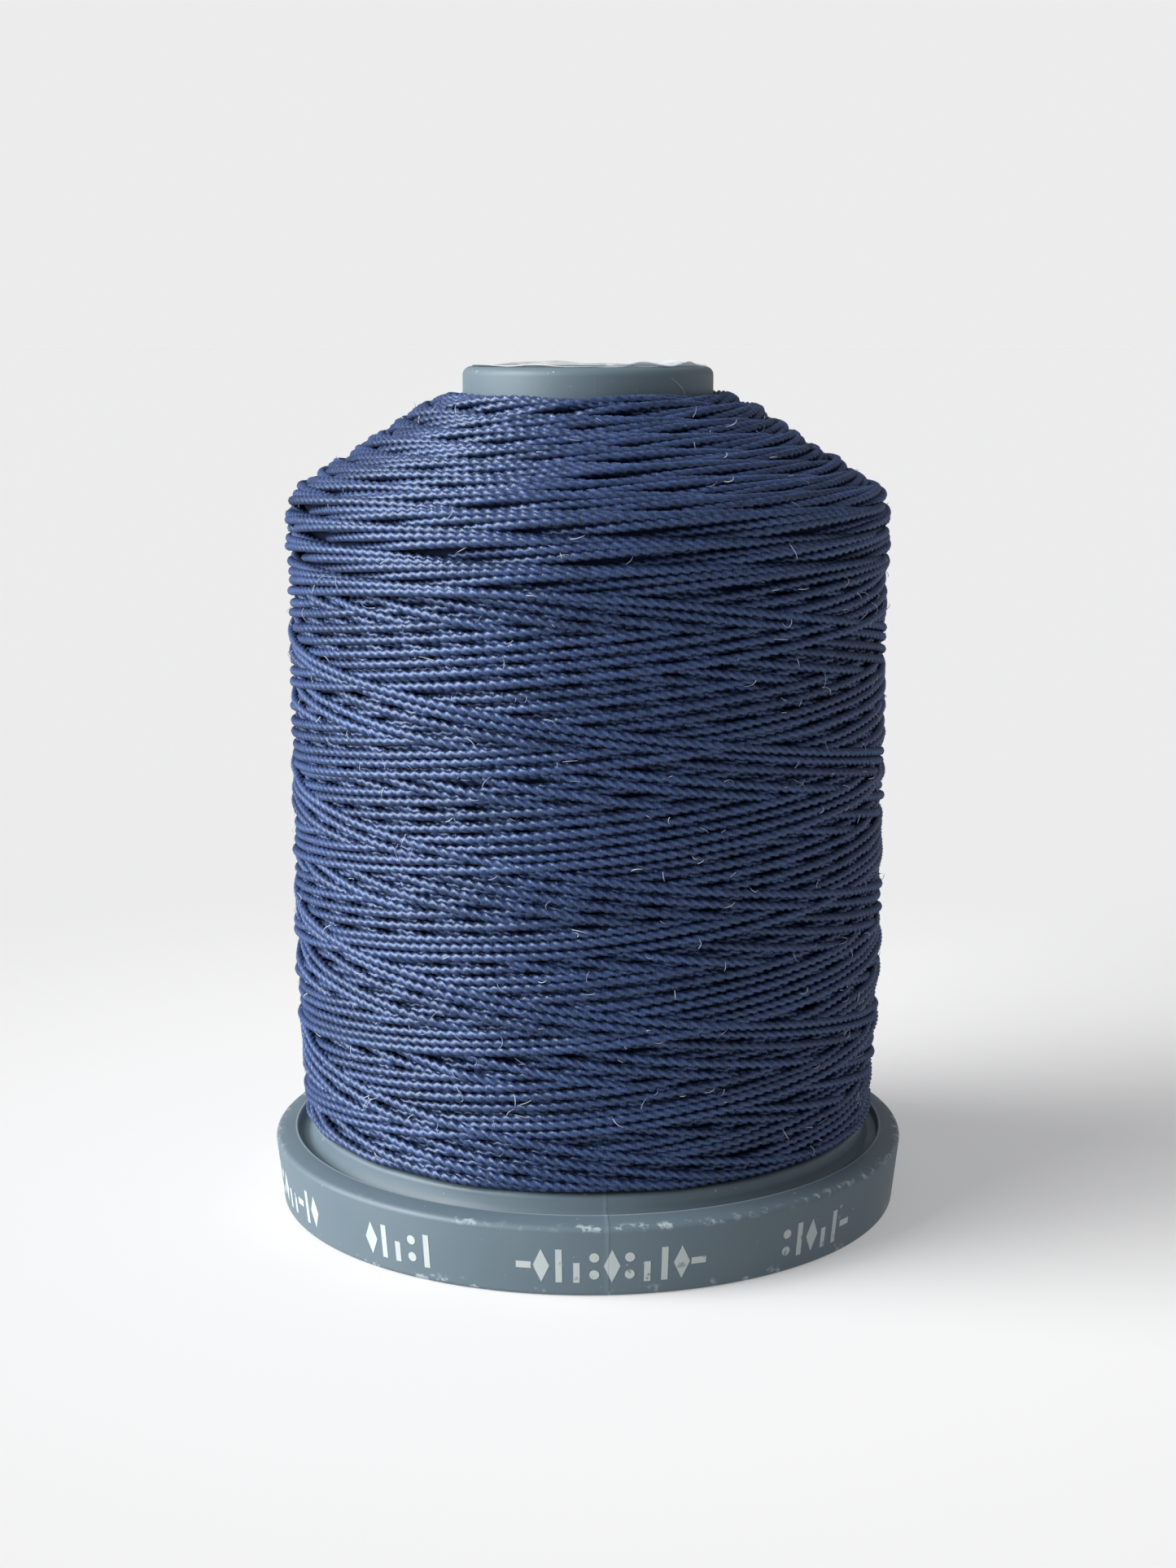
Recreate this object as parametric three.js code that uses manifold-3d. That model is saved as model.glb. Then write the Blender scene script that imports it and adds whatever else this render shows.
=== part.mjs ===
// A small king spool of heavy sewing thread, standing on its base flange.
//
// Units are millimetres and +Z is up. The origin is the centre of the base, on the surface that the spool
// stands on, and the spool's axis is the Z axis.
//
// The real object comes apart into three pieces, and each is one named mesh here:
//   spool_body       one injection moulding: barrel, top collar, base flange and the ribs under it
//   thread_winding   the outer shape of the wound thread, a ring with a conical top
//   seal_label       what is left of the thin film seal that was stuck on the collar's end face

import * as THREE from "three";
import { mergeVertices } from "three/addons/utils/BufferGeometryUtils.js";
import Module from "manifold-3d";

const wasm = await Module();
wasm.setup();

// ---------------------------------------------------------------- driving dimensions

const FLANGE_RADIUS = 19.0;
const SPOOL_HEIGHT = 49.7;
const BARREL_RADIUS = 7.3;
const BORE_RADIUS = 4.8;
const WALL = 1.5;
const FILLET = 0.6; // where the barrel meets the flange

const TURN_SEGMENTS = 72; // sides of every turned shape
const CORNER_STEPS = 4; // straight pieces in a rounded corner

// base flange
const FLANGE_HEIGHT = 4.1; // to the shoulder of the outer wall
const FLANGE_DRAFT = 0.4; // how much narrower the wall is at the base
const FLANGE_EDGE_ROUND = 0.35;
const BASE_EDGE_ROUND = 0.25;
const LIP_RADIUS = 17.7; // inner edge of the flange's top ring
const LIP_HEIGHT = 4.35;
const GROOVE_DEPTH = 0.45;
const GROOVE_WIDTH = 0.75;
const FOOT_RADIUS = 16.8; // the raised step that the thread stands on
const FOOT_HEIGHT = 5.1;
const FOOT_ROUND = 0.3;

// underside
const RIM_THICKNESS = 1.4;
const WEB_UNDERSIDE = 3.0; // height of the flange's lower face
const HUB_RECESS = 0.4; // the hub and the ribs stop short of the surface below
const RIB_COUNT = 6;
const RIB_THICKNESS = 1.0;
const RIB_SUNK = 0.4; // how far a rib's ends and top run into the walls around it

// top collar
const COLLAR_ROUND = 0.5;
const COLLAR_LIP = 1.6; // thickness of the end wall that holds the bore
const COLLAR_TAPER = 0.8; // height of the slope from that wall out to the hollow barrel
const BORE_CHAMFER = 0.25;

// thread winding
const CONTACT_GAP = 0.15; // clearance of touching solids
const WINDING_FOOT_RADIUS = 16.6;
const WINDING_WAIST_HEIGHT = 14.0; // below this the winding tapers to its foot
const WINDING_RADIUS = 17.5;
const SHOULDER_HEIGHT = 42.0; // the cone starts here
const SHOULDER_ROUND = 0.8;
const WINDING_TOP = 48.4;
const WINDING_TOP_RADIUS = 8.2;

// film seal
const FILM_THICKNESS = 0.12;
const FILM_LIFT = 0.1; // it has come loose, and lies a little above the collar
const FILM_OUTER_RADIUS = 6.5;
const FILM_INNER_RADIUS = 5.4; // edge of the hole that was torn through the middle
const FILM_TEAR = 0.2; // how far the torn edges wander
const FILM_STEPS = 48;

// ---------------------------------------------------------------- materials

const plastic = new THREE.MeshStandardMaterial({ color: 0x6f8089, roughness: 0.45, metalness: 0 });
const thread = new THREE.MeshStandardMaterial({ color: 0x24305f, roughness: 0.7, metalness: 0 });
const film = new THREE.MeshStandardMaterial({ color: 0xdfe6e6, roughness: 0.3, metalness: 0 });

// ---------------------------------------------------------------- helpers

// Points of a quarter round about a centre, from one angle to another, both in degrees.
function corner(centreR, centreZ, radius, fromDegrees, toDegrees) {
  const points = [];
  for (let i = 0; i <= CORNER_STEPS; i++) {
    const angle = THREE.MathUtils.degToRad(fromDegrees + ((toDegrees - fromDegrees) * i) / CORNER_STEPS);
    points.push([centreR + radius * Math.cos(angle), centreZ + radius * Math.sin(angle)]);
  }
  return points;
}

// A closed outline of [radius, height] pairs, counter-clockwise with radius to the right, turned about Z.
function turned(outline) {
  const points = [...outline, outline[0]].map(([r, z]) => new THREE.Vector2(r, z));
  const geometry = new THREE.LatheGeometry(points, TURN_SEGMENTS);
  geometry.rotateX(Math.PI / 2);
  return geometry;
}

// A geometry as a manifold-3d solid.
function solidOf(geometry) {
  const bare = geometry.clone();
  bare.deleteAttribute("normal");
  bare.deleteAttribute("uv");
  const merged = mergeVertices(bare, 1e-4);
  const index = merged.index ? merged.index.array : [...merged.attributes.position.array.keys()];
  return new wasm.Manifold(
    new wasm.Mesh({
      numProp: 3,
      vertProperties: new Float32Array(merged.attributes.position.array),
      triVerts: new Uint32Array(index),
    }),
  );
}

// A manifold-3d solid as a three.js geometry.
function geometryOf(solid) {
  const { vertProperties, triVerts } = solid.getMesh();
  const geometry = new THREE.BufferGeometry();
  geometry.setAttribute("position", new THREE.BufferAttribute(new Float32Array(vertProperties), 3));
  geometry.setIndex(new THREE.BufferAttribute(new Uint32Array(triVerts), 1));
  geometry.computeVertexNormals();
  return geometry;
}

function named(name, geometry, material) {
  const mesh = new THREE.Mesh(geometry, material);
  mesh.name = name;
  return mesh;
}

// ---------------------------------------------------------------- the moulded spool

// The moulding's section: up the outside from the base, in over the collar, down the bore and out under the
// flange.
function mouldingOutline() {
  const baseRadius = FLANGE_RADIUS - FLANGE_DRAFT;
  const grooveFloor = LIP_HEIGHT - GROOVE_DEPTH;
  const hollowRadius = BARREL_RADIUS - WALL;
  return [
    ...corner(baseRadius - BASE_EDGE_ROUND, BASE_EDGE_ROUND, BASE_EDGE_ROUND, -90, 0),
    ...corner(FLANGE_RADIUS - FLANGE_EDGE_ROUND, FLANGE_HEIGHT - FLANGE_EDGE_ROUND, FLANGE_EDGE_ROUND, 0, 80),
    [LIP_RADIUS, LIP_HEIGHT],
    [LIP_RADIUS - 0.12, grooveFloor],
    [LIP_RADIUS - GROOVE_WIDTH, grooveFloor],
    ...corner(FOOT_RADIUS - FOOT_ROUND, FOOT_HEIGHT - FOOT_ROUND, FOOT_ROUND, 0, 90),
    [BARREL_RADIUS + FILLET, FOOT_HEIGHT],
    [BARREL_RADIUS, FOOT_HEIGHT + FILLET],
    ...corner(BARREL_RADIUS - COLLAR_ROUND, SPOOL_HEIGHT - COLLAR_ROUND, COLLAR_ROUND, 0, 90),
    [BORE_RADIUS + BORE_CHAMFER, SPOOL_HEIGHT],
    [BORE_RADIUS, SPOOL_HEIGHT - BORE_CHAMFER],
    [BORE_RADIUS, SPOOL_HEIGHT - COLLAR_LIP],
    [hollowRadius, SPOOL_HEIGHT - COLLAR_LIP - COLLAR_TAPER],
    [hollowRadius, HUB_RECESS],
    [BARREL_RADIUS, HUB_RECESS],
    [BARREL_RADIUS, WEB_UNDERSIDE],
    [baseRadius - RIM_THICKNESS, WEB_UNDERSIDE],
    [baseRadius - RIM_THICKNESS, 0],
  ];
}

// One radial rib under the flange. Its ends and its top are sunk into the hub, the rim and the web.
function rib(angle) {
  const inner = BARREL_RADIUS - RIB_SUNK;
  const outer = FLANGE_RADIUS - FLANGE_DRAFT - RIM_THICKNESS + RIB_SUNK;
  const height = WEB_UNDERSIDE + RIB_SUNK - HUB_RECESS;
  const geometry = new THREE.BoxGeometry(outer - inner, RIB_THICKNESS, height);
  geometry.translate((inner + outer) / 2, 0, HUB_RECESS + height / 2);
  geometry.rotateZ(angle);
  return geometry;
}

function spoolBody() {
  let body = solidOf(turned(mouldingOutline()));
  for (let i = 0; i < RIB_COUNT; i++) {
    body = body.add(solidOf(rib((i * 2 * Math.PI) / RIB_COUNT)));
  }
  return named("spool_body", geometryOf(body), plastic);
}

// ---------------------------------------------------------------- the thread

// The winding's section: out along the foot, up the side, in over the cone and down beside the barrel.
function windingOutline() {
  const inner = BARREL_RADIUS + CONTACT_GAP;
  const bottom = FOOT_HEIGHT + CONTACT_GAP;
  const coneSlope = Math.atan2(WINDING_RADIUS - WINDING_TOP_RADIUS, WINDING_TOP - SHOULDER_HEIGHT);
  return [
    [inner + FILLET, bottom],
    [WINDING_FOOT_RADIUS, bottom],
    [WINDING_RADIUS, WINDING_WAIST_HEIGHT],
    ...corner(
      WINDING_RADIUS - SHOULDER_ROUND,
      SHOULDER_HEIGHT,
      SHOULDER_ROUND,
      0,
      THREE.MathUtils.radToDeg(coneSlope),
    ),
    [WINDING_TOP_RADIUS, WINDING_TOP],
    [inner, WINDING_TOP],
    [inner, bottom + FILLET],
  ];
}

function threadWinding() {
  return named("thread_winding", turned(windingOutline()), thread);
}

// ---------------------------------------------------------------- the film seal

// One edge of the film as a list of points: a circle that wanders in and out where it was torn.
function tornCircle(radius, phase) {
  const points = [];
  for (let i = 0; i < FILM_STEPS; i++) {
    const angle = (i * 2 * Math.PI) / FILM_STEPS;
    const wander = 0.6 * Math.sin(5 * angle + phase) + 0.4 * Math.sin(13 * angle + 2 * phase);
    const torn = radius + FILM_TEAR * wander;
    points.push(new THREE.Vector2(torn * Math.cos(angle), torn * Math.sin(angle)));
  }
  return points;
}

function sealLabel() {
  const shape = new THREE.Shape(tornCircle(FILM_OUTER_RADIUS, 0.4));
  shape.holes.push(new THREE.Path(tornCircle(FILM_INNER_RADIUS, 1.9)));
  const geometry = new THREE.ExtrudeGeometry(shape, { depth: FILM_THICKNESS, bevelEnabled: false });
  const mesh = named("seal_label", geometry, film);
  mesh.position.z = SPOOL_HEIGHT + FILM_LIFT;
  return mesh;
}

// ---------------------------------------------------------------- the assembly

const spool = new THREE.Group();
spool.name = "spool_of_thread";
spool.add(spoolBody(), threadWinding(), sealLabel());

export default spool;
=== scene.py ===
"""The looks of a small king spool of heavy navy sewing thread.

A moulded blue-grey spool with a wide base flange, cross-wound three-ply thread, short fibres that stand off
the thread, ink marks on the flange, and a torn film seal on the collar.
"""

import math

import bmesh
import bpy
import numpy as np
from mathutils import Matrix, Vector


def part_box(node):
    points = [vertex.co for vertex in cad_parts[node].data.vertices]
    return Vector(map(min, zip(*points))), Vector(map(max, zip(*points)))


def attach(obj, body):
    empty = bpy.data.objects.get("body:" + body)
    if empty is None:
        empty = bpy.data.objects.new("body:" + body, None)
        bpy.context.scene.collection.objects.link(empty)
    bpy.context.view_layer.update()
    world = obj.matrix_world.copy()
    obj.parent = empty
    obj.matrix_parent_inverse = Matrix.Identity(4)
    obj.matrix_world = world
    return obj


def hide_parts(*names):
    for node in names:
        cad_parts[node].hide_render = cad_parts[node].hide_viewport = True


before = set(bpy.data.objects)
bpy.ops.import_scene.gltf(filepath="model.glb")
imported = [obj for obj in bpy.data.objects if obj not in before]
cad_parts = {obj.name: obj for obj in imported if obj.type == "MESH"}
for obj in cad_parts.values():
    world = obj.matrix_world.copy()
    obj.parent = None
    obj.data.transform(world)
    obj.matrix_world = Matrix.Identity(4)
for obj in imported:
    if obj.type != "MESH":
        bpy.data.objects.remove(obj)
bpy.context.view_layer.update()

# ---------------------------------------------------------------- sizes, in metres

MM = 0.001
BODY_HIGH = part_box("spool_body")[1]
WINDING_LOW, WINDING_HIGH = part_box("thread_winding")

FLANGE_RADIUS = BODY_HIGH[0]
SPOOL_HEIGHT = BODY_HIGH[2]
WINDING_RADIUS = WINDING_HIGH[0]
WINDING_FOOT = WINDING_LOW[2]
WINDING_TOP = WINDING_HIGH[2]
BARREL_RADIUS = 7.3 * MM
COLLAR_BORE = 4.8 * MM
HOLLOW_RADIUS = 5.8 * MM

FRONT = math.radians(-90)  # the side that faces the camera, about the axis from +X

THREAD_RADIUS = 0.275 * MM
PLY_PITCH = 1.9 * MM  # thread length in which a ply goes round once
PLY_STEPS = 9  # rings of the strand's mesh in one ply pitch
SAME_PLACE = 1e-7  # points closer than this are merged


# ---------------------------------------------------------------- node helpers


def new_material(name, **values):
    """A material with its Principled shader's plain values set, and its node tree."""
    material = bpy.data.materials.new(name)
    material.use_nodes = True
    shader = material.node_tree.nodes["Principled BSDF"]
    for socket, value in values.items():
        shader.inputs[socket.replace("_", " ")].default_value = value
    return material, material.node_tree, shader


def add(tree, kind, inputs=(), **settings):
    """A node with its settings, and its inputs linked or set by name or number."""
    node = tree.nodes.new("ShaderNode" + kind)
    for key, value in settings.items():
        setattr(node, key, value)
    for key, value in dict(inputs).items():
        if isinstance(value, bpy.types.NodeSocket):
            tree.links.new(value, node.inputs[key])
        else:
            node.inputs[key].default_value = value
    return node


def place(tree):
    """Object coordinates."""
    return add(tree, "TexCoord").outputs["Object"]


def noise(tree, vector, scale, detail=2.0, roughness=0.5):
    """Noise from 0 to 1 over a vector."""
    inputs = {"Vector": vector, "Scale": scale, "Detail": detail, "Roughness": roughness}
    return add(tree, "TexNoise", inputs).outputs["Fac"]


def ramp(tree, value, low, high, start=0.0, end=1.0):
    """value taken from low..high to start..end with soft ends."""
    inputs = {"Value": value, "From Min": low, "From Max": high, "To Min": start, "To Max": end}
    return add(tree, "MapRange", inputs, interpolation_type="SMOOTHSTEP").outputs["Result"]


def calc(tree, operation, first, second=0.0):
    """One step of arithmetic."""
    return add(tree, "Math", {0: first, 1: second}, operation=operation).outputs[0]


def blend_colour(tree, factor, first, second):
    """A colour between two colours."""
    node = add(tree, "Mix", data_type="RGBA")
    for socket, value in ((0, factor), (6, first), (7, second)):
        if isinstance(value, bpy.types.NodeSocket):
            tree.links.new(value, node.inputs[socket])
        else:
            node.inputs[socket].default_value = value
    return node.outputs[2]


def bump(tree, shader, height, strength, distance):
    """Bumps the shader's normal by a height."""
    node = add(tree, "Bump", {"Height": height, "Strength": strength, "Distance": distance})
    tree.links.new(node.outputs["Normal"], shader.inputs["Normal"])
    return node


# ---------------------------------------------------------------- object helpers


def finish_piece(mesh_object, slot, *nodes):
    """The piece rides on the spool and stands for CAD nodes. Its slot is not used."""
    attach(mesh_object, "root")
    if nodes:
        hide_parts(*nodes)


def linked(name, data):
    """An object in the scene that shows some data, at the origin."""
    made = bpy.data.objects.new(name, data)
    bpy.context.scene.collection.objects.link(made)
    return made


def object_from(bm, name, material, smooth_angle=None):
    """A mesh object made from a bmesh, smooth all over, or sharp past an angle."""
    mesh = bpy.data.meshes.new(name)
    bm.to_mesh(mesh)
    bm.free()
    mesh.materials.append(material)
    mesh.polygons.foreach_set("use_smooth", [True] * len(mesh.polygons))
    if smooth_angle is not None:
        mesh.set_sharp_from_angle(angle=smooth_angle)
    return linked(name, mesh)


def new_curve(name):
    """An empty curve in space."""
    curve = bpy.data.curves.new(name, "CURVE")
    curve.dimensions = "3D"
    return curve


def add_spline(curve, path):
    """A smooth-shaded line through an array of points."""
    spline = curve.splines.new("POLY")
    spline.points.add(len(path) - 1)
    spline.use_smooth = True
    spline.points.foreach_set("co", np.hstack([path, np.ones((len(path), 1))]).ravel())
    return spline


def mesh_from_curve(curve):
    """The mesh of a curve's tubes. The curve goes."""
    name = curve.name
    holder = linked(name, curve)
    graph = bpy.context.evaluated_depsgraph_get()
    mesh = bpy.data.meshes.new_from_object(holder.evaluated_get(graph))
    bpy.data.objects.remove(holder)
    bpy.data.curves.remove(curve)
    mesh.name = name
    return mesh


def object_of_tubes(mesh, material):
    """An object that shows the mesh of a curve's tubes, in one material."""
    mesh.materials.clear()
    mesh.materials.append(material)
    return linked(mesh.name, mesh)


def turn(bm, verts, edges, steps):
    """Turns a line once round Z."""
    bmesh.ops.spin(
        bm,
        geom=verts + edges,
        axis=(0, 0, 1),
        cent=(0, 0, 0),
        angle=2 * math.pi,
        steps=steps,
        use_merge=True,
    )
    bmesh.ops.remove_doubles(bm, verts=bm.verts, dist=SAME_PLACE)


def spun(outline, steps):
    """A closed outline of (radius, height) pairs turned about Z."""
    bm = bmesh.new()
    verts = [bm.verts.new((radius, 0, height)) for radius, height in outline]
    edges = [bm.edges.new(pair) for pair in zip(verts, verts[1:] + verts[:1])]
    turn(bm, verts, edges, steps)
    bmesh.ops.recalc_face_normals(bm, faces=bm.faces)
    return bm


def arc(centre, radius, start, end, steps=6):
    """(radius, height) points of an arc between two angles in degrees."""
    angles = [math.radians(start + (end - start) * i / steps) for i in range(steps + 1)]
    return [(centre[0] + radius * math.cos(a), centre[1] + radius * math.sin(a)) for a in angles]


# ---------------------------------------------------------------- materials


def spool_plastic():
    """Satin blue-grey plastic, rubbed pale along its edges, with scuffs, a faint moulded grain, and a thin
    painted highlight along the lip of the groove.
    """
    material, tree, shader = new_material("spool plastic", Roughness=0.42)
    shader.inputs["Specular IOR Level"].default_value = 0.45
    where = place(tree)
    parts = add(tree, "SeparateXYZ", {0: where}).outputs
    radius = add(tree, "VectorMath", {0: where, 1: (1, 1, 0)}, operation="MULTIPLY").outputs[0]
    radius = add(tree, "VectorMath", {0: radius}, operation="LENGTH").outputs["Value"]

    cloud = noise(tree, where, 220, 3)
    base = blend_colour(tree, cloud, (0.125, 0.178, 0.215, 1), (0.150, 0.205, 0.243, 1))

    # pale wear on the shoulder of the flange, in specks and short rubbed runs
    edge_height = ramp(tree, parts["Z"], SHOULDER_HEIGHT - 0.42 * MM, SHOULDER_HEIGHT - 0.02 * MM)
    edge_radius = ramp(tree, radius, FLANGE_RADIUS - 0.55 * MM, FLANGE_RADIUS - 0.1 * MM)
    edge = calc(tree, "MULTIPLY", edge_height, edge_radius)
    rubbed = ramp(tree, noise(tree, where, 1500, 4, 0.65), 0.52, 0.62)
    runs = ramp(tree, noise(tree, where, 160, 2), 0.42, 0.6)
    wear = calc(tree, "MULTIPLY", edge, calc(tree, "MULTIPLY", rubbed, runs))

    # chips near the base edge
    low_edge = ramp(tree, parts["Z"], 0.75 * MM, 0.2 * MM)
    chips = ramp(tree, noise(tree, where, 700, 3, 0.7), 0.57, 0.66)
    chips = calc(tree, "MULTIPLY", low_edge, chips)

    # a thin painted highlight along the lip of the groove, and pale specks all over
    lip_height = ramp(tree, parts["Z"], LIP_HEIGHT - 0.12 * MM, LIP_HEIGHT - 0.03 * MM)
    lip_radius = ramp(tree, radius, LIP_RADIUS + 0.2 * MM, LIP_RADIUS + 0.08 * MM)
    lip_inside = ramp(tree, radius, LIP_RADIUS - 0.10 * MM, LIP_RADIUS - 0.02 * MM, 0.0, 0.5)
    lip = calc(tree, "MULTIPLY", calc(tree, "MULTIPLY", lip_height, lip_radius), lip_inside)
    specks = ramp(tree, noise(tree, where, 2400, 2, 0.5), 0.73, 0.78, 0.0, 0.6)

    # the painted highlight on the lip shares the pale colour of the real wear and chips
    marks = calc(tree, "MAXIMUM", wear, calc(tree, "MULTIPLY", chips, 0.7))
    marks = calc(tree, "MAXIMUM", marks, calc(tree, "MAXIMUM", lip, specks))
    colour = blend_colour(tree, marks, base, (0.50, 0.57, 0.60, 1))
    tree.links.new(colour, shader.inputs["Base Color"])

    grain = noise(tree, where, 2600, 3, 0.6)
    haze = ramp(tree, noise(tree, where, 120, 2), 0.3, 0.7, 0.38, 0.5)
    tree.links.new(haze, shader.inputs["Roughness"])
    bump(tree, shader, grain, 0.25, 0.02 * MM)
    return material


def thread_material():
    """Navy thread, in a tone that drifts from strand to strand, with painted shade between the plies and on
    the strands' sides.
    """
    material, tree, shader = new_material("navy thread", Roughness=0.35)
    shader.inputs["Sheen Weight"].default_value = 0.07
    shader.inputs["Sheen Roughness"].default_value = 0.35
    shader.inputs["Sheen Tint"].default_value = (0.68, 0.77, 1.0, 1)
    shader.inputs["Specular IOR Level"].default_value = 1.0
    shader.inputs["Specular Tint"].default_value = (0.62, 0.76, 1.0, 1)
    where = place(tree)
    drift = noise(tree, where, 180, 2)
    # the strand's own tone, times painted shade between the plies and on the strands' sides
    strand = add(tree, "Attribute", attribute_name="strand_tone_and_painted_shade").outputs["Fac"]
    flecks = ramp(tree, noise(tree, where, 3200, 2, 0.6), 0.3, 0.7, -0.18, 0.18)
    shade = calc(tree, "ADD", calc(tree, "MULTIPLY", strand, 0.7), calc(tree, "MULTIPLY", drift, 0.3))
    shade = calc(tree, "ADD", shade, flecks)
    colour = blend_colour(tree, shade, (0.004, 0.008, 0.028, 1), (0.070, 0.128, 0.330, 1))
    tree.links.new(colour, shader.inputs["Base Color"])
    streaks = noise(tree, where, 9000, 2, 0.6)
    bump(tree, shader, streaks, 0.6, 0.03 * MM)
    return material


def core_material():
    """The deeper layers of thread, painted dark for the shade that they lie in."""
    material, tree, shader = new_material("buried thread", Roughness=0.75)
    shader.inputs["Specular IOR Level"].default_value = 0.15
    drift = noise(tree, place(tree), 800, 2)
    # painted shade: far darker than the navy of the strands
    colour = blend_colour(tree, drift, (0.005, 0.010, 0.034, 1), (0.016, 0.028, 0.080, 1))
    tree.links.new(colour, shader.inputs["Base Color"])
    return material


def fibre_material():
    """Loose filaments, painted nearly white for the light that they catch."""
    material, tree, shader = new_material("loose fibre", Roughness=0.35)
    tint = noise(tree, place(tree), 900, 1)
    # painted highlight: the fibres are given a pale colour for the light that they catch
    colour = blend_colour(tree, ramp(tree, tint, 0.35, 0.65), (0.24, 0.31, 0.50, 1), (0.74, 0.79, 0.86, 1))
    tree.links.new(colour, shader.inputs["Base Color"])
    return material


def ink_material():
    """Pale printing ink, rubbed thin in places so that the plastic shows through."""
    material, tree, shader = new_material("printing ink", Roughness=0.5)
    where = place(tree)
    thin = ramp(tree, noise(tree, where, 1500, 4, 0.65), 0.58, 0.70)
    tone = noise(tree, where, 500, 2)
    ink = blend_colour(tree, tone, (0.50, 0.57, 0.57, 1), (0.61, 0.67, 0.66, 1))
    colour = blend_colour(tree, thin, ink, (0.24, 0.30, 0.33, 1))
    tree.links.new(colour, shader.inputs["Base Color"])
    return material


def film_material():
    """Thin clear film gone milky, whiter where it is creased."""
    material, tree, shader = new_material("seal film", Roughness=0.22, Alpha=0.55)
    shader.inputs["Specular IOR Level"].default_value = 0.7
    where = place(tree)
    creases = ramp(tree, noise(tree, where, 1400, 3, 0.6), 0.44, 0.70)
    colour = blend_colour(tree, creases, (0.74, 0.79, 0.80, 1), (0.92, 0.94, 0.94, 1))
    tree.links.new(colour, shader.inputs["Base Color"])
    bump(tree, shader, noise(tree, where, 1100, 3), 0.5, 0.08 * MM)
    return material


def floor_material():
    """Plain pale floor, with a painted falloff of light that leaves it a little darker far from the object,
    darker in what it reflects than in view, and with a faint painted glow that lightens its shadow.
    """
    material, tree, shader = new_material("floor", Roughness=0.95)
    shader.inputs["Specular IOR Level"].default_value = 0.0
    distance = add(tree, "VectorMath", {0: place(tree)}, operation="LENGTH").outputs["Value"]
    # painted falloff of light: the floor darkens away from the object
    far = ramp(tree, distance, 15 * MM, 90 * MM)
    shade = blend_colour(tree, far, FLOOR_NEAR, FLOOR_FAR)
    seen = add(tree, "LightPath").outputs["Is Camera Ray"]
    colour = blend_colour(tree, seen, (0.30, 0.30, 0.30, 1), shade)
    tree.links.new(colour, shader.inputs["Base Color"])
    # a faint painted glow, which lightens the shadow on the floor and the light it throws back
    shader.inputs["Emission Color"].default_value = (1, 1, 1, 1)
    shader.inputs["Emission Strength"].default_value = 0.26
    return material


# ---------------------------------------------------------------- the moulded spool

TURN_STEPS = 288  # sides of the turned moulding
SHOULDER_HEIGHT = 4.1 * MM  # top of the flange's outer wall
BASE_RADIUS = FLANGE_RADIUS - 0.4 * MM
LIP_RADIUS = 17.7 * MM
LIP_HEIGHT = 4.35 * MM
GROOVE_FLOOR = 3.9 * MM
GROOVE_WIDTH = 0.75 * MM
FOOT_RADIUS = 16.8 * MM
FOOT_HEIGHT = 5.1 * MM
UNDERSIDE = 3.0 * MM  # height of the flange's lower face
RIM_INSIDE = BASE_RADIUS - 1.4 * MM
HUB_FOOT = 0.4 * MM  # the hub and the ribs stop short of the surface below
PARTING_ANGLE = math.radians(-86.6)  # the mould's parting plane, about the axis from +X
PARTING_RIDGE = 0.018 * MM
RIB_COUNT = 6
RIB_THICKNESS = 1.0 * MM
RIB_SUNK = 0.4 * MM  # how far a rib runs into the walls round it


def moulding_outline():
    """The moulding's section, up the outside from the base, in over the collar and down the bore."""
    edge = 0.35 * MM
    base_round = 0.25 * MM
    collar_round = 0.5 * MM
    lip_bead = 0.09 * MM
    groove_round = 0.12 * MM
    foot_round = 0.3 * MM
    fillet = 0.6 * MM
    bore_round = 0.25 * MM
    outline = []
    outline += arc((BASE_RADIUS - base_round, base_round), base_round, -90, 0, 5)
    outline += arc((FLANGE_RADIUS - edge, SHOULDER_HEIGHT - edge), edge, 3, 82, 9)
    outline += arc((LIP_RADIUS + lip_bead, LIP_HEIGHT - lip_bead), lip_bead, 85, 180, 5)
    outline += [(LIP_RADIUS - 0.03 * MM, GROOVE_FLOOR + groove_round)]
    outline += [(LIP_RADIUS - groove_round, GROOVE_FLOOR)]
    outline += [(LIP_RADIUS - GROOVE_WIDTH + groove_round, GROOVE_FLOOR)]
    outline += [(LIP_RADIUS - GROOVE_WIDTH, GROOVE_FLOOR + groove_round)]
    # the foot ring: a cove, then a rounded step
    outline += [(FOOT_RADIUS + 0.02 * MM, GROOVE_FLOOR + 0.45 * MM)]
    outline += arc((FOOT_RADIUS - foot_round, FOOT_HEIGHT - foot_round), foot_round, 0, 90, 7)
    outline += [(BARREL_RADIUS + fillet, FOOT_HEIGHT)]
    outline += [(BARREL_RADIUS, FOOT_HEIGHT + fillet)]
    outline += [(BARREL_RADIUS, WINDING_TOP - 0.6 * MM)]
    outline += arc((BARREL_RADIUS - collar_round, SPOOL_HEIGHT - collar_round), collar_round, 0, 90, 9)
    outline += arc((COLLAR_BORE + bore_round, SPOOL_HEIGHT - bore_round), bore_round, 90, 180, 4)
    outline += [(COLLAR_BORE, SPOOL_HEIGHT - 1.6 * MM)]
    outline += [(HOLLOW_RADIUS, SPOOL_HEIGHT - 2.4 * MM)]
    outline += [(HOLLOW_RADIUS, HUB_FOOT)]
    outline += [(BARREL_RADIUS, HUB_FOOT)]
    outline += [(BARREL_RADIUS, UNDERSIDE)]
    outline += [(RIM_INSIDE, UNDERSIDE)]
    outline += [(RIM_INSIDE, 0)]
    return outline


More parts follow.
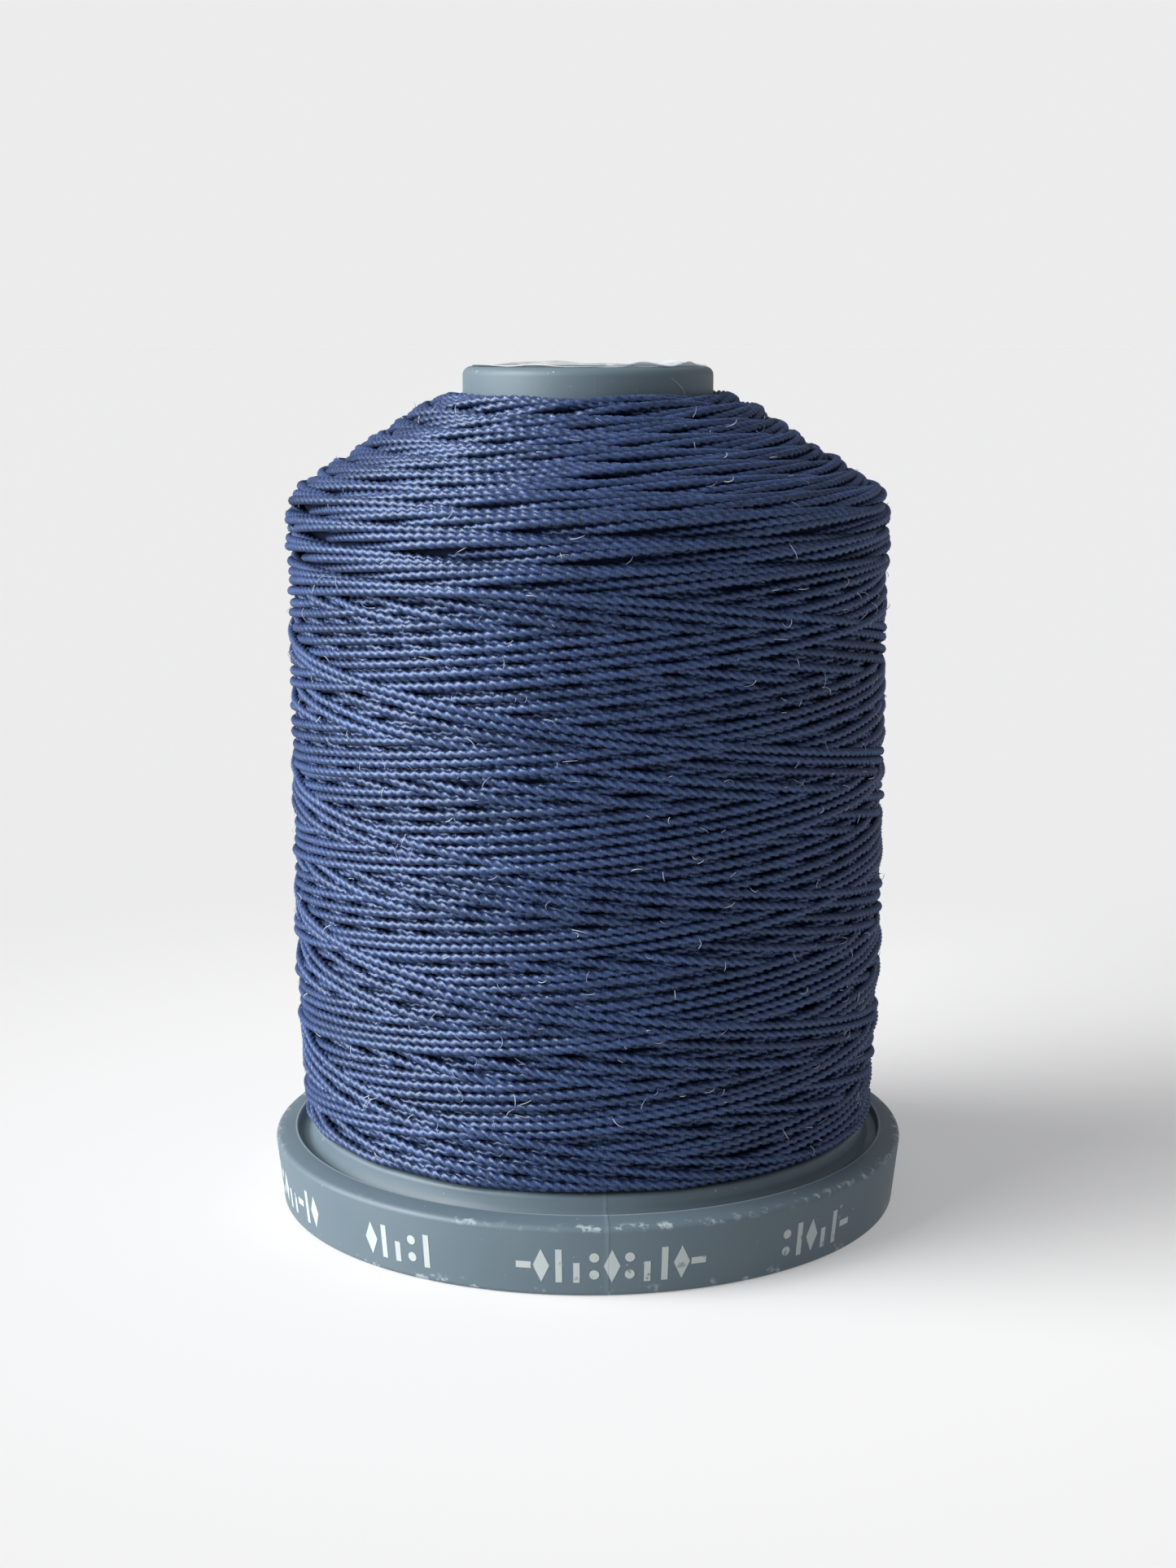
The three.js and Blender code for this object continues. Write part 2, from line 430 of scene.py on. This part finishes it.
def raise_parting_line(bm):
    """Cuts the turned shape along its parting plane and lifts a fine ridge of flash on its outer faces."""
    along = Vector((math.cos(PARTING_ANGLE), math.sin(PARTING_ANGLE), 0))
    across = Vector((-along.y, along.x, 0))
    for offset in (-0.05 * MM, 0, 0.05 * MM):
        geom = bm.verts[:] + bm.edges[:] + bm.faces[:]
        bmesh.ops.bisect_plane(bm, geom=geom, dist=1e-8, plane_co=across * offset, plane_no=across)
    bm.normal_update()
    for vert in bm.verts:
        on_line = abs(vert.co.dot(across)) < SAME_PLACE
        outside = vert.co.xy.length > BARREL_RADIUS - 0.4 * MM and vert.co.z > 0.1 * MM
        if on_line and outside and vert.normal.z > -0.3:
            on_collar = vert.co.z > WINDING_TOP - MM
            vert.co += vert.normal * PARTING_RIDGE * (0.25 if on_collar else 1)


def add_ribs(bm):
    """Radial ribs under the flange, sunk into the hub, the rim and the web."""
    inner = BARREL_RADIUS - RIB_SUNK
    outer = RIM_INSIDE + RIB_SUNK
    height = UNDERSIDE + RIB_SUNK - HUB_FOOT
    for i in range(RIB_COUNT):
        rib = bmesh.ops.create_cube(bm, size=1)["verts"]
        bmesh.ops.scale(bm, vec=(outer - inner, RIB_THICKNESS, height), verts=rib)
        bmesh.ops.translate(bm, vec=((inner + outer) / 2, 0, HUB_FOOT + height / 2), verts=rib)
        bmesh.ops.rotate(bm, matrix=Matrix.Rotation(i * 2 * math.pi / RIB_COUNT, 3, "Z"), verts=rib)


def moulded_spool(material):
    """The whole moulding: barrel, collar, flange and ribs."""
    bm = spun(moulding_outline(), TURN_STEPS)
    raise_parting_line(bm)
    add_ribs(bm)
    piece = object_from(bm, "spool_moulding", material, math.radians(40))
    finish_piece(piece, "spool_plastic", "spool_body")


# ---------------------------------------------------------------- winding the thread

COLUMNS = 576  # columns of the height map round the package
ROW = 0.08 * MM  # height of one of its rows
ROWS = int(50 * MM / ROW)
ROW_HEIGHTS = np.arange(ROWS) * ROW
STEP_ANGLE = 2 * math.pi / COLUMNS
LAY_SPACING = 0.62 * MM  # from one strand to the one laid beside it
LAY_WANDER = 0.02 * MM  # how far a strand strays from its line
LAY_JITTER = 0.003  # how unevenly strokes start, in turns
CONE_DEPTH, SIDE_DEPTH = 0.8 * MM, 0.12 * MM  # how deep under the surface a strand is still made
LEVEL_ROWS, LEVEL_COLUMNS = 18, 10  # reach of the levelling, in rows and columns
PROUD = 0.06 * MM  # how far a strand's centre may stand outside the mean surface before it is drawn in
UP_TURNS, DOWN_TURNS = 3.3, 2.2  # turns of the spool in an upward and a downward stroke
SQUASH = 0.6  # how much of its round height a strand keeps where another crosses it
BUILT_RADIUS = WINDING_RADIUS - 0.15 * MM  # mean radius of the finished package
FOOT_DRAW = 0.45 * MM  # how far the package draws in at its foot
FIRST_LAY = WINDING_FOOT + 0.2 * MM  # lowest height at which a strand can lie
WAIST = 14 * MM  # below this the package draws in
SHOULDER = 42.2 * MM  # above this is the cone
NECK_RADIUS = 8.1 * MM  # where the cone meets the collar
MARGIN, LEAST_RUN = 9, 20  # samples by which a stretch that shows is drawn out, and the fewest in a stretch
CONE_TILT = math.radians(56)  # how far up the cone's surface faces


def package_profile():
    """The finished package's mean radius at each row: a tapered foot, a straight side and a cone."""
    heights = [WINDING_FOOT, WAIST, SHOULDER, SHOULDER + 0.6 * MM, WINDING_TOP]
    radii = [BUILT_RADIUS - FOOT_DRAW, BUILT_RADIUS, BUILT_RADIUS, BUILT_RADIUS - 0.55 * MM, NECK_RADIUS]
    return np.interp(ROW_HEIGHTS, heights, radii)


def smoothed(values, reach, ends="edge"):
    """A running mean over reach samples to each side. ends is wrap for a row that closes on itself."""
    kernel = np.hanning(2 * reach + 3)[1:-1]
    padded = np.pad(values, reach, mode=ends)
    return np.convolve(padded, kernel / kernel.sum(), mode="valid")


def wander(rng, count, step, amount):
    """A slow random drift of count samples, new every step samples."""
    knots = rng.standard_normal(int(count / step) + 3)
    return amount * np.interp(np.arange(count) / step, np.arange(len(knots)), knots)


def taut(support):
    """The radius of a thread pulled tight over bumps: the support's convex hull, straight between bumps."""
    mean = support.mean()
    angle = np.arange(len(support)) * STEP_ANGLE
    bend = mean * angle**2 / 2  # a straight line's rise above a circle
    flat = (support - bend).tolist()
    kept = []
    for i, value in enumerate(flat):
        while len(kept) > 1:
            first, second = kept[-2], kept[-1]
            if (flat[second] - flat[first]) * (i - first) > (value - flat[first]) * (second - first):
                break
            kept.pop()
        kept.append(i)
    return np.interp(np.arange(len(flat)), kept, [flat[i] for i in kept]) + bend


def stroke_heights(rng, low, high, turns, upward):
    """Heights of one stroke of the traverse, one for each column passed, with eased reversals."""
    count = round(turns * COLUMNS)
    u = (np.arange(count) + 0.5) / count
    if not upward:
        u = 1 - u
    low_ease, high_ease = 0.05 / turns, 0.11 / turns
    z = np.where(u < low_ease, u**2 / (2 * low_ease) + low_ease / 2, u)
    z = np.where(u > 1 - high_ease, 1 - (1 - u) ** 2 / (2 * high_ease) - high_ease / 2, z)
    z = (z - low_ease / 2) / (1 - low_ease / 2 - high_ease / 2)
    away_from_ends = np.clip(np.minimum(u, 1 - u) * 10, 0, 1)
    return low + (high - low) * z + wander(rng, count, COLUMNS * 0.08, LAY_WANDER) * away_from_ends


def crest(offset):
    """Height of a strand's top over its centre line, at an offset from it."""
    return np.sqrt(np.maximum(THREAD_RADIUS**2 - offset**2, 0)) * SQUASH


def neighbours(z):
    """For each row near a strand: its index and its offset from the strand's centre line."""
    nearest = np.rint(z / ROW).astype(int)
    for shift in range(-3, 4):
        rows = nearest + shift
        yield rows, rows * ROW - z


def lay_stroke(surface, columns, z):
    """Lays one stroke on the surface, and returns the radius of its centre line."""
    support = np.zeros(len(z))
    for rows, offset in neighbours(z):
        under = np.where(np.abs(offset) < 0.9 * THREAD_RADIUS, surface[columns, rows] + crest(offset), 0)
        support = np.maximum(support, under)
    centre = taut(support)
    centre -= 0.35 * np.minimum(centre - smoothed(support, 9), 0.5 * MM)
    for rows, offset in neighbours(z):
        touched = np.abs(offset) < THREAD_RADIUS
        at = (columns[touched], rows[touched])
        surface[at] = np.maximum(surface[at], (centre + crest(offset))[touched])
    return centre


def turn_at_foot(surface, profile, built):
    """Where a downward stroke turns round: on top of what is piled up at the foot."""
    mean = smoothed(surface.mean(axis=0), 4)
    first = int(FIRST_LAY / ROW)
    room = mean <= built - (BUILT_RADIUS - profile) + 0.05 * MM
    return ROW_HEIGHTS[first + np.argmax(room[first:])]


def turn_at_cone(surface, profile):
    """Where an upward stroke turns round: as high as the cone's line leaves room."""
    mean = smoothed(surface.mean(axis=0), 4)
    last = int((WINDING_TOP - 0.3 * MM) / ROW)
    room = (mean + 0.3 * MM <= profile)[:last][::-1]
    return ROW_HEIGHTS[last - 1 - np.argmax(room)]


def wind_package():
    """Winds the whole length of thread, stroke by stroke.

    Returns the surface, and the thread's columns, heights and radii in the order in which they were laid.
    """
    rng = np.random.default_rng(3)
    surface = np.full((COLUMNS, ROWS), BARREL_RADIUS)
    profile = package_profile()
    middle = slice(int(20 * MM / ROW), int(30 * MM / ROW))
    phase = 0.0
    low = FIRST_LAY
    laid = []
    while surface[:, middle].mean() < BUILT_RADIUS:
        for turns, upward in ((UP_TURNS, True), (DOWN_TURNS, False)):
            if upward:
                high = turn_at_cone(surface, profile) - abs(rng.normal(0, 0.15 * MM))
            else:
                built = surface[:, middle].mean()
                low = turn_at_foot(surface, profile, built) + abs(rng.normal(0, 0.15 * MM))
            z = stroke_heights(rng, low, high, turns, upward)
            columns = (np.arange(len(z)) + int(phase * COLUMNS)) % COLUMNS
            laid.append((columns, z, lay_stroke(surface, columns, z)))
            phase = (phase + turns) % 1
        advance = (high - low) * 2 / (UP_TURNS + DOWN_TURNS)
        phase = (phase + LAY_SPACING / advance / 2 + rng.normal(0, LAY_JITTER)) % 1
    columns, z, centre = (np.concatenate(part) for part in zip(*laid))
    return surface, columns, z, centre


def on_top(surface, columns, z, centre):
    """Which samples of a stroke show on the surface."""
    shown = np.zeros(len(z), bool)
    depth = np.where(z > SHOULDER - 0.7 * MM, CONE_DEPTH, SIDE_DEPTH)
    for rows, offset in neighbours(z):
        near = np.abs(offset) < 0.9 * THREAD_RADIUS
        shown |= near & (centre + crest(offset) >= surface[columns, rows] - depth)
    return shown


def shown_runs(shown, margin, least):
    """(start, end) of each stretch that shows, with a margin that runs on under its neighbours."""
    grown = np.convolve(shown, np.ones(2 * margin + 1), mode="same") > 0
    steps = np.flatnonzero(np.diff(np.concatenate(([0], grown, [0]))))
    return [(start, end) for start, end in zip(steps[::2], steps[1::2]) if end - start >= least]


def levelled(surface):
    """How far the surface lies inside its profile, smoothed over a few strands.

    The strands are moved out by this much, so that the package is round and even.
    """
    inside = (ROW_HEIGHTS > FIRST_LAY) & (ROW_HEIGHTS < WINDING_TOP - 0.4 * MM)
    gap = np.where(inside, package_profile() - surface, 0)
    weight = smoothed(inside.astype(float), LEVEL_ROWS)
    gap = np.apply_along_axis(smoothed, 1, gap, LEVEL_ROWS) / np.maximum(weight, 0.05)
    return np.apply_along_axis(smoothed, 0, gap, LEVEL_COLUMNS, "wrap")


def strand_paths():
    """The stretches of thread that show: each an array of points, and how far along the thread they are."""
    surface, columns, z, centre = wind_package()
    shown = on_top(surface, columns, z, centre)
    level = levelled(surface)
    rows = np.rint(z / ROW).astype(int)
    radius = centre + level[columns, rows]
    limit = package_profile()[rows] + PROUD
    proud = radius - limit
    radius = smoothed(limit + np.where(proud > 0, 0.2, 0.75) * proud, 4)
    angle = columns * STEP_ANGLE
    points = np.stack([radius * np.cos(angle), radius * np.sin(angle), z], axis=1)
    gaps = np.linalg.norm(np.diff(points, axis=0), axis=1)
    along = np.concatenate(([0], np.cumsum(gaps)))
    ring_gap = PLY_PITCH / PLY_STEPS
    paths = []
    for start, end in shown_runs(shown, MARGIN, LEAST_RUN):
        first, last = math.ceil(along[start] / ring_gap), math.floor(along[end - 1] / ring_gap)
        rings = np.arange(first, last) * ring_gap
        if len(rings) > 4:
            run = slice(start, end)
            path = [np.interp(rings, along[run], points[run, axis]) for axis in range(3)]
            paths.append((np.stack(path, axis=1), rings))
    return paths


# the strand's section has three corners for each ply: the valley before it, and two on its crest
PLIES = 3
CORNER_RADII = (0.185 * MM, THREAD_RADIUS, THREAD_RADIUS)
CORNER_ANGLES = (0, 0.72, 1.37)
SECTION_SIDES = PLIES * len(CORNER_RADII)
# painted shade: the strands are painted darker in the valleys between the plies
PLY_PAINTED_SHADE = np.array([0.1, 0.95, 0.95] * PLIES)  # shade at each corner, deepest between the plies
PIECE_RINGS = 10500  # most rings of the section in one piece
BURIED_SIDES = 96  # sides of the turned surface under the strands


def ply_section():
    """The strand's section: three plies side by side, as a closed curve."""
    curve = bpy.data.curves.new("ply section", "CURVE")
    curve.dimensions = "2D"
    spline = curve.splines.new("POLY")
    spline.points.add(SECTION_SIDES - 1)
    spline.use_cyclic_u = True
    for i, point in enumerate(spline.points):
        ply, corner = divmod(i, len(CORNER_RADII))
        radius = CORNER_RADII[corner]
        angle = ply * 2 * math.pi / PLIES + CORNER_ANGLES[corner]
        point.co = (radius * math.cos(angle), radius * math.sin(angle), 0, 1)
    return linked("ply section", curve)


def strand_mesh(name, paths, section, rng):
    """One mesh of many strands, with a tone of its own for each strand and painted shade between the plies
    and on the strands' sides.
    """
    curve = new_curve(name)
    curve.twist_mode = "Z_UP"
    curve.bevel_mode = "OBJECT"
    curve.bevel_object = section
    for path, along in paths:
        spline = add_spline(curve, path)
        spline.points.foreach_set("tilt", along * (2 * math.pi / PLY_PITCH))
    mesh = mesh_from_curve(curve)
    # each strand's own tone, times painted shade between the plies and on the sides that face the neighbours
    shades = []
    for path, along in paths:
        own = rng.uniform(0.45, 1.0)
        shades.append(np.tile(own * PLY_PAINTED_SHADE, len(path)))
    shade = np.concatenate(shades) * painted_side_shade(mesh, np.concatenate([path for path, along in paths]))
    layer = mesh.attributes.new("strand_tone_and_painted_shade", "FLOAT", "POINT")
    layer.data.foreach_set("value", shade)
    close_ends(mesh)
    return mesh


def painted_side_shade(mesh, centres):
    """How open each point of the strands is, as painted shade: least on the sides, which face their
    neighbours.
    """
    points = np.empty(len(mesh.vertices) * 3)
    mesh.vertices.foreach_get("co", points)
    centres = np.repeat(centres, SECTION_SIDES, axis=0)
    spoke = points.reshape(-1, 3) - centres
    spoke /= np.linalg.norm(spoke, axis=1)[:, None]
    tilt = np.interp(centres[:, 2], [SHOULDER - MM, SHOULDER + MM], [0, CONE_TILT])
    out = np.hstack([centres[:, :2], np.zeros((len(centres), 1))])
    out *= (np.cos(tilt) / np.linalg.norm(out, axis=1))[:, None]
    out[:, 2] = np.sin(tilt)
    return np.interp((spoke * out).sum(axis=1), [-0.2, 0.45, 1], [0.0, 0.3, 1.12])


def close_ends(mesh):
    """Puts a face on both ends of every strand."""
    bm = bmesh.new()
    bm.from_mesh(mesh)
    open_edges = [edge for edge in bm.edges if edge.is_boundary]
    bmesh.ops.holes_fill(bm, edges=open_edges, sides=SECTION_SIDES)
    bm.to_mesh(mesh)
    bm.free()


def piece_groups(paths):
    """The paths in groups, each small enough for one piece."""
    groups = [[]]
    count = 0
    for path, along in paths:
        if count + len(path) > PIECE_RINGS:
            groups.append([])
            count = 0
        groups[-1].append((path, along))
        count += len(path)
    return groups


def wound_thread(material):
    """The thread that shows, in pieces of less than 200,000 triangles."""
    section = ply_section()
    rng = np.random.default_rng(11)
    for i, group in enumerate(piece_groups(strand_paths())):
        mesh = strand_mesh(f"thread_strands_{i + 1:02d}", group, section, rng)
        piece = object_of_tubes(mesh, material)
        finish_piece(piece, "thread", "thread_winding")
    bpy.data.objects.remove(section)


def buried_thread(material):
    """The surface of the buried layers, just under the strands: turns of thread lying side by side."""
    heights = np.arange(WINDING_FOOT + 0.1 * MM, WINDING_TOP - 0.3 * MM, LAY_SPACING / 4)
    profile = np.interp(heights, ROW_HEIGHTS, package_profile())
    depth = np.minimum(0.85 * MM, (profile - BARREL_RADIUS) * 0.45)
    turns = 0.12 * MM * np.abs(np.sin(heights * math.pi / LAY_SPACING))
    outline = [(BARREL_RADIUS + 0.05 * MM, heights[0])]
    outline += list(zip(profile - depth + turns, heights))
    outline += [(BARREL_RADIUS + 0.05 * MM, heights[-1])]
    piece = object_from(spun(outline, BURIED_SIDES), "buried_thread", material)
    finish_piece(piece, "thread", "thread_winding")


# ---------------------------------------------------------------- loose fibres

FIBRE_COUNT = 620
FIBRE_POINTS = 6
FIBRE_RADIUS = 0.021 * MM
# longer ones: degrees round from the front, height and length in millimetres
STRAY_FIBRES = [
    (-36, 46.6, 1.6),
    (-46, 9.2, 1.3),
    (-45, 9.4, 0.9),
    (38, 40.5, 1.1),
    (31, 33.5, 1.2),
    (-41, 37.0, 1.2),
]


def fibre_path(rng, angle, height, length, lift):
    """A short curled filament from a point on the package: along it, and out from it."""
    radius = np.interp(height, ROW_HEIGHTS, package_profile()) + 0.12 * MM
    heading = rng.uniform(0, 2 * math.pi)
    turn = rng.normal(0, 1.1)
    point = np.array([radius * math.cos(angle), radius * math.sin(angle), height])
    outward = np.array([math.cos(angle), math.sin(angle), 0.0])
    aside = np.array([-math.sin(angle), math.cos(angle), 0.0])
    up = np.array([0.0, 0.0, 1.0])
    points = []
    for i in range(FIBRE_POINTS):
        share = i / (FIBRE_POINTS - 1)
        bearing = heading + turn * share
        points.append(point)
        rise = lift * math.cos(math.pi * share * 0.9)
        step = aside * math.cos(bearing) + up * math.sin(bearing) * 0.7 + outward * rise
        point = point + step / np.linalg.norm(step) * length / (FIBRE_POINTS - 1)
    return np.array(points)


def fibre_mesh(name, paths):
    """Many filaments as one mesh of four-sided tubes."""
    curve = new_curve(name)
    curve.bevel_depth = FIBRE_RADIUS
    curve.bevel_resolution = 0
    curve.use_fill_caps = True
    for path in paths:
        spline = add_spline(curve, path)
        taper = np.interp(np.linspace(0, 1, len(path)), [0, 0.7, 1], [1, 0.8, 0.35])
        spline.points.foreach_set("radius", taper)
    return mesh_from_curve(curve)


def loose_fibres(material):
    """Filaments that stand off the thread all round, and one that has settled on the collar."""
    rng = np.random.default_rng(29)
    paths = []
    for _ in range(FIBRE_COUNT):
        height = rng.uniform(WINDING_FOOT + 0.6 * MM, WINDING_TOP - 0.8 * MM)
        length = rng.uniform(0.35, 1.0) * MM
        paths.append(fibre_path(rng, rng.uniform(0, 2 * math.pi), height, length, rng.uniform(0.15, 0.8)))
    for degrees, height, length in STRAY_FIBRES:
        paths.append(fibre_path(rng, FRONT + math.radians(degrees), height * MM, length * MM, 0.6))
    along = np.linspace(0, 1, FIBRE_POINTS)
    angles = FRONT + np.radians(40 + 8 * along + 3 * np.sin(along * 3))
    radii = BARREL_RADIUS + (0.03 + 0.05 * np.sin(along * math.pi)) * MM
    heights = SPOOL_HEIGHT - (0.65 + 1.35 * along) * MM
    paths.append(np.stack([radii * np.cos(angles), radii * np.sin(angles), heights], axis=1))
    piece = object_of_tubes(fibre_mesh("loose_fibres", paths), material)
    finish_piece(piece, "thread")


# ---------------------------------------------------------------- printed marks

MARK_HEIGHT = 1.95 * MM
MARK_MIDDLE = 1.8 * MM  # height of the row of marks over the base
MARK_STEP = 0.98 * MM
BAR_WIDTH = 0.36 * MM
DOT_WIDTH = 0.55 * MM
INK_THICKNESS = 0.015 * MM
# abstract ornament in four groups: middle of each, in degrees round from the front, and its marks in order
MARK_GROUPS = [
    (-67.2, ["bar", "dots", "diamond", "short", "short", "dash", "bar", "diamond"]),
    (-34.2, ["diamond", "bar", "short", "dots", "bar"]),
    (4, ["dash", "diamond", "bar", "short", "dots", "diamond", "dots", "short", "bar", "diamond", "dash"]),
    (43.4, ["dots", "bar", "diamond", "short", "bar", "dash"]),
]


def add_bar(bm, x, y, width, height):
    """A flat bar in small faces, so that it can follow the wall."""
    turned_to = Matrix.Translation((x, y, 0)) @ Matrix.Diagonal((width / 2, height / 2, 1, 1))
    bmesh.ops.create_grid(bm, x_segments=3, y_segments=6, size=1, matrix=turned_to)


def add_round(bm, x, y, width, height, sides):
    """A flat disc, or a diamond when it has four sides."""
    turned_to = Matrix.Translation((x, y, 0)) @ Matrix.Diagonal((width / 2, height / 2, 1, 1))
    bmesh.ops.create_circle(bm, cap_ends=True, cap_tris=True, segments=sides, radius=1, matrix=turned_to)


def add_mark(bm, kind, x):
    """One mark of the ornament, flat, centred at x."""
    if kind == "bar":
        add_bar(bm, x, 0, BAR_WIDTH, MARK_HEIGHT)
    elif kind == "short":
        add_bar(bm, x, -MARK_HEIGHT * 0.2, BAR_WIDTH, MARK_HEIGHT * 0.6)
    elif kind == "dash":
        add_bar(bm, x, 0, 0.85 * MM, 0.38 * MM)
    elif kind == "diamond":
        add_round(bm, x, 0, 0.92 * MM, MARK_HEIGHT, 4)
    else:
        add_round(bm, x, MARK_HEIGHT * 0.26, DOT_WIDTH, DOT_WIDTH, 14)
        add_round(bm, x, -MARK_HEIGHT * 0.26, DOT_WIDTH, DOT_WIDTH, 14)


def printed_marks(material):
    """The ornament printed on the flange's wall, one thin piece of ink for each group."""
    for number, (degrees, kinds) in enumerate(MARK_GROUPS):
        bm = bmesh.new()
        middle = FRONT + math.radians(degrees)
        for i, kind in enumerate(kinds):
            add_mark(bm, kind, (i - (len(kinds) - 1) / 2) * MARK_STEP)
        for vert in bm.verts:
            height = MARK_MIDDLE + vert.co.y
            angle = middle + vert.co.x / FLANGE_RADIUS
            radius = wall_radius(height) + INK_THICKNESS
            vert.co = (radius * math.cos(angle), radius * math.sin(angle), height)
        bmesh.ops.recalc_face_normals(bm, faces=bm.faces)
        outwards(bm)
        bmesh.ops.solidify(bm, geom=bm.faces[:], thickness=INK_THICKNESS)
        bmesh.ops.recalc_face_normals(bm, faces=bm.faces)
        piece = object_from(bm, f"printed_marks_{number + 1}", material, math.radians(40))
        finish_piece(piece, "spool_plastic")


def wall_radius(height):
    """Radius of the flange's drafted outer wall at a height."""
    return BASE_RADIUS + (FLANGE_RADIUS - BASE_RADIUS) * (height - 0.25 * MM) / (3.5 * MM)


def outwards(bm):
    """Turns every face of a sheet that lies on the spool's wall to face away from the axis."""
    spokes = [(face, face.calc_center_median() * Vector((1, 1, 0))) for face in bm.faces]
    inward = [face for face, spoke in spokes if face.normal.dot(spoke) < 0]
    bmesh.ops.reverse_faces(bm, faces=inward)


# ---------------------------------------------------------------- the film seal

FILM_INSIDE, FILM_OUTSIDE = 5.35 * MM, 6.85 * MM
FILM_THICKNESS = 0.05 * MM
# each edge that has curled up: degrees round from the front, spread in degrees, and rise in millimetres
FILM_CURLS = [
    (27, 9, 0.20),
    (60, 12, 0.28),
    (-20, 16, 0.12),
    (-70, 14, 0.16),
    (130, 14, 0.3),
    (205, 20, 0.25),
]
FILM_RINGS, FILM_SIDES = 7, 150


def torn_film(material):
    """What is left of the seal: a torn ring that has let go of the collar here and there and curled up."""
    bm = bmesh.new()
    radii = np.linspace(FILM_INSIDE, FILM_OUTSIDE, FILM_RINGS)
    verts = [bm.verts.new((radius, 0, SPOOL_HEIGHT + 0.03 * MM)) for radius in radii]
    edges = [bm.edges.new(pair) for pair in zip(verts, verts[1:])]
    turn(bm, verts, edges, FILM_SIDES)
    for vert in bm.verts:
        angle = math.atan2(vert.co.y, vert.co.x)
        radius = vert.co.xy.length
        share = (radius - FILM_INSIDE) / (FILM_OUTSIDE - FILM_INSIDE)
        ragged = 0.10 * math.sin(7 * angle + 1) + 0.07 * math.sin(19 * angle)
        ragged += 0.04 * math.sin(41 * angle + 2)
        radius += ragged * MM * (1.6 * (1 - share) + 0.6 * share)
        rise = 0.05 + 0.04 * math.sin(5 * angle + 0.6) + 0.03 * math.sin(13 * angle + share * 3)
        for degrees, spread, height in FILM_CURLS:
            away = (math.degrees(angle - FRONT) - degrees + 180) % 360 - 180
            curl = math.exp(-((away / spread) ** 2)) * share**2
            rise += height * curl
            radius -= 0.5 * height * MM * curl
        vert.co = (radius * math.cos(angle), radius * math.sin(angle), SPOOL_HEIGHT + rise * MM)
    bmesh.ops.recalc_face_normals(bm, faces=bm.faces)
    bmesh.ops.solidify(bm, geom=bm.faces[:], thickness=FILM_THICKNESS)
    bmesh.ops.recalc_face_normals(bm, faces=bm.faces)
    piece = object_from(bm, "torn_film", material, math.radians(50))
    finish_piece(piece, "seal_film", "seal_label")


# ---------------------------------------------------------------- studio

FLOOR_NEAR, FLOOR_FAR = (0.680, 0.680, 0.678, 1), (0.555, 0.555, 0.553, 1)
FLOOR_RADIUS = 30
EYE_DISTANCE = 7.65 * FLANGE_RADIUS
EYE_HEIGHT = 2.695 * FLANGE_RADIUS
LOOK_DOWN = math.radians(10.23)


def studio():
    """A pale floor without an edge, a broad low light from the left and a weak even fill."""
    bm = bmesh.new()
    bmesh.ops.create_circle(bm, cap_ends=True, segments=96, radius=FLOOR_RADIUS)
    floor = object_from(bm, "floor", floor_material())

    scene = bpy.context.scene
    scene.view_settings.view_transform = "Standard"
    world = bpy.data.worlds.new("studio")
    scene.world = world
    world.use_nodes = True
    tree = world.node_tree
    seen = add(tree, "LightPath").outputs["Is Camera Ray"]
    shade = blend_colour(tree, seen, (0.29, 0.29, 0.30, 1), (0.84, 0.84, 0.84, 1))
    tree.links.new(shade, tree.nodes["Background"].inputs["Color"])

    sunlight("key", (-0.905, -0.255, 0.353), 5.0, 60)
    sunlight("high", (-0.80, -0.15, 0.58), 1.0, 30)


def sunlight(name, towards, energy, width):
    """A soft light from far away in one direction, some degrees wide."""
    data = bpy.data.lights.new(name, "SUN")
    data.energy = energy
    data.angle = math.radians(width)
    light = linked(name, data)
    light.rotation_euler = Vector(towards).to_track_quat("Z", "Y").to_euler()


def camera():
    """The eye, straight in front of the spool, level with its collar and looking a little down."""
    data = bpy.data.cameras.new("camera")
    data.sensor_fit = "AUTO"
    data.sensor_width = 36
    data.lens = 56.5
    data.clip_start = 5 * MM
    eye = linked("camera", data)
    eye.location = (0, -EYE_DISTANCE, EYE_HEIGHT)
    eye.rotation_euler = (math.radians(90) - LOOK_DOWN, 0, 0)
    bpy.context.scene.camera = eye


# ---------------------------------------------------------------- the whole

camera()
studio()
moulded_spool(spool_plastic())
wound_thread(thread_material())
buried_thread(core_material())
loose_fibres(fibre_material())
printed_marks(ink_material())
torn_film(film_material())
